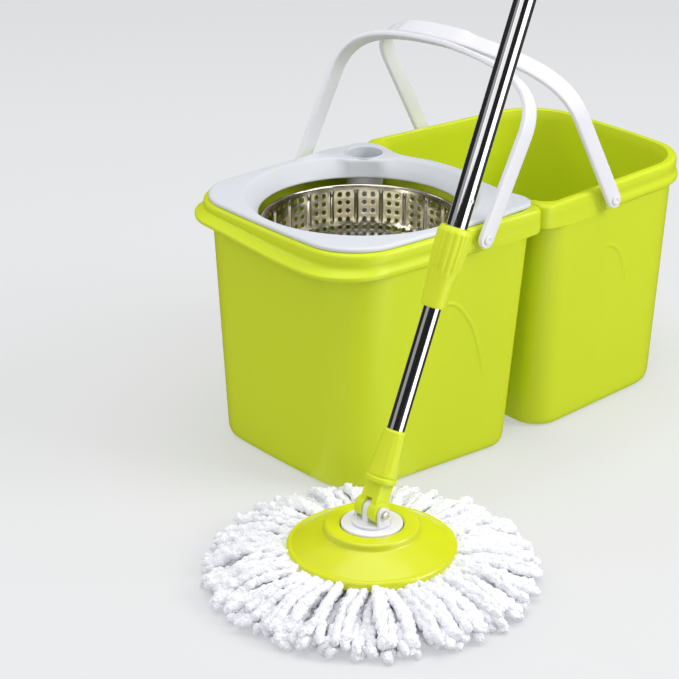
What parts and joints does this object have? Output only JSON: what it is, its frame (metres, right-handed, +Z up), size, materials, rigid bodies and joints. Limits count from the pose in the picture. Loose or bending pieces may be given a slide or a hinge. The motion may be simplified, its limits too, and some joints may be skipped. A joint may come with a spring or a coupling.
{
  "type": "spin mop with twin bucket",
  "caption": "Hand-press spin mop with a lime twin bucket: a spin bucket with a perforated steel basket, a hooked-on wash bucket, and bail handles.",
  "frame": {"origin": "on the floor under the spin bucket, on the spin basket's axis", "axes": "+Z up; +X from the spin bucket to the wash bucket; +Y to the side away from the mop"},
  "size_m": [0.7451, 0.5643, 0.9478],
  "materials": {
    "lime_shell": "glossy moulded lime-green plastic",
    "lime_fittings": "satin moulded lime-green plastic",
    "white_plastic": "semi-gloss white plastic",
    "guard_plastic": "satin off-white plastic",
    "basket_steel": "polished stainless sheet, pressed and perforated",
    "tube_steel": "polished steel tube",
    "fastener_steel": "bright plated steel",
    "yarn": "white microfibre yarn",
    "nylon": "natural nylon",
    "grip": "soft-touch lime grip"
  },
  "bodies": {
    "spin_bucket_set": {"spin_bucket": "lime_shell", "spindle_post": "nylon", "spindle_pin": "fastener_steel", "post_screw_1": "fastener_steel", "post_screw_2": "fastener_steel", "post_screw_3": "fastener_steel", "post_screw_4": "fastener_steel", "spin_pin_near": "white_plastic", "spin_pin_far": "white_plastic"},
    "guard": {"splash_guard": "guard_plastic"},
    "basket_set": {"basket": "basket_steel", "basket_hub": "guard_plastic", "basket_bearing": "nylon", "hub_cap": "guard_plastic"},
    "wash_bucket_set": {"wash_bucket": "lime_shell", "wash_pin_near": "white_plastic", "wash_pin_far": "white_plastic"},
    "spin_bail": {"spin_handle": "white_plastic"},
    "wash_bail": {"wash_handle": "white_plastic"},
    "mop_hub": {"knuckle": "white_plastic", "hub_washer": "white_plastic", "hub_bolt": "fastener_steel", "pivot_pin": "fastener_steel", "pivot_nut": "fastener_steel"},
    "mop_head": {"head_plate": "lime_shell", "hub_bearing": "nylon", "yarn_ring": "nylon", "yarn": "yarn"},
    "lower_pole": {"fork": "lime_fittings", "lower_socket": "lime_fittings", "lower_tube": "tube_steel", "clutch_ring": "nylon", "drive_nut": "nylon"},
    "bush": {"slide_bush": "nylon"},
    "upper_pole": {"upper_tube": "tube_steel", "stop_stud": "fastener_steel", "twisted_bar": "fastener_steel", "bar_anchor": "nylon", "grip_sleeve": "grip", "end_cap": "lime_fittings", "lock_ring": "nylon"},
    "collar": {"lock_collar": "lime_fittings"}
  },
  "joints": [
    {"name": "basket_spin", "type": "hinge", "parent": "spin_bucket_set", "child": "basket_set", "pos_m": [0, 0, 0.165], "axis": [0, 0, 1], "continuous": true},
    {"name": "guard_lift", "type": "slide", "parent": "spin_bucket_set", "child": "guard", "axis": [0, 0, 1], "range_m": [0, 0.1]},
    {"name": "wash_bucket_unhook", "type": "slide", "parent": "spin_bucket_set", "child": "wash_bucket_set", "axis": [0, 0, 1], "range_m": [0, 0.06]},
    {"name": "spin_handle_swing", "type": "hinge", "parent": "spin_bucket_set", "child": "spin_bail", "pos_m": [0.037, 0, 0.251], "axis": [0, 1, 0], "range_deg": [-104, 0]},
    {"name": "wash_handle_swing", "type": "hinge", "parent": "wash_bucket_set", "child": "wash_bail", "pos_m": [0.219, 0, 0.251], "axis": [0, 1, 0], "range_deg": [0, 140]},
    {"name": "mop_lift", "type": "slide", "parent": "spin_bucket_set", "child": "mop_hub", "axis": [-0.5, -0.6124, 0.6124], "range_m": [0, 0.25]},
    {"name": "head_spin", "type": "hinge", "parent": "mop_hub", "child": "mop_head", "pos_m": [-0.2, -0.247, 0.05], "axis": [0, 0, 1], "continuous": true},
    {"name": "pole_tilt", "type": "hinge", "parent": "mop_hub", "child": "lower_pole", "pos_m": [-0.2, -0.247, 0.072], "axis": [0, 1, 0], "range_deg": [-101, 58]},
    {"name": "pole_press", "type": "slide", "parent": "lower_pole", "child": "bush", "axis": [0.3681, 0, 0.9298], "range_m": [-0.1, 0.28]},
    {"name": "pole_spin", "type": "hinge", "parent": "bush", "child": "upper_pole", "pos_m": [-0.2, -0.247, 0.072], "axis": [0.3681, 0, 0.9298], "range_deg": [-361, 1009]},
    {"name": "collar_twist", "type": "hinge", "parent": "upper_pole", "child": "collar", "pos_m": [-0.2, -0.247, 0.072], "axis": [0.3681, 0, 0.9298], "range_deg": [0, 60]}
  ],
  "couplings": [
    {"joint": "pole_spin", "follows": "pole_press", "rad_per_m": 62.832}
  ]
}
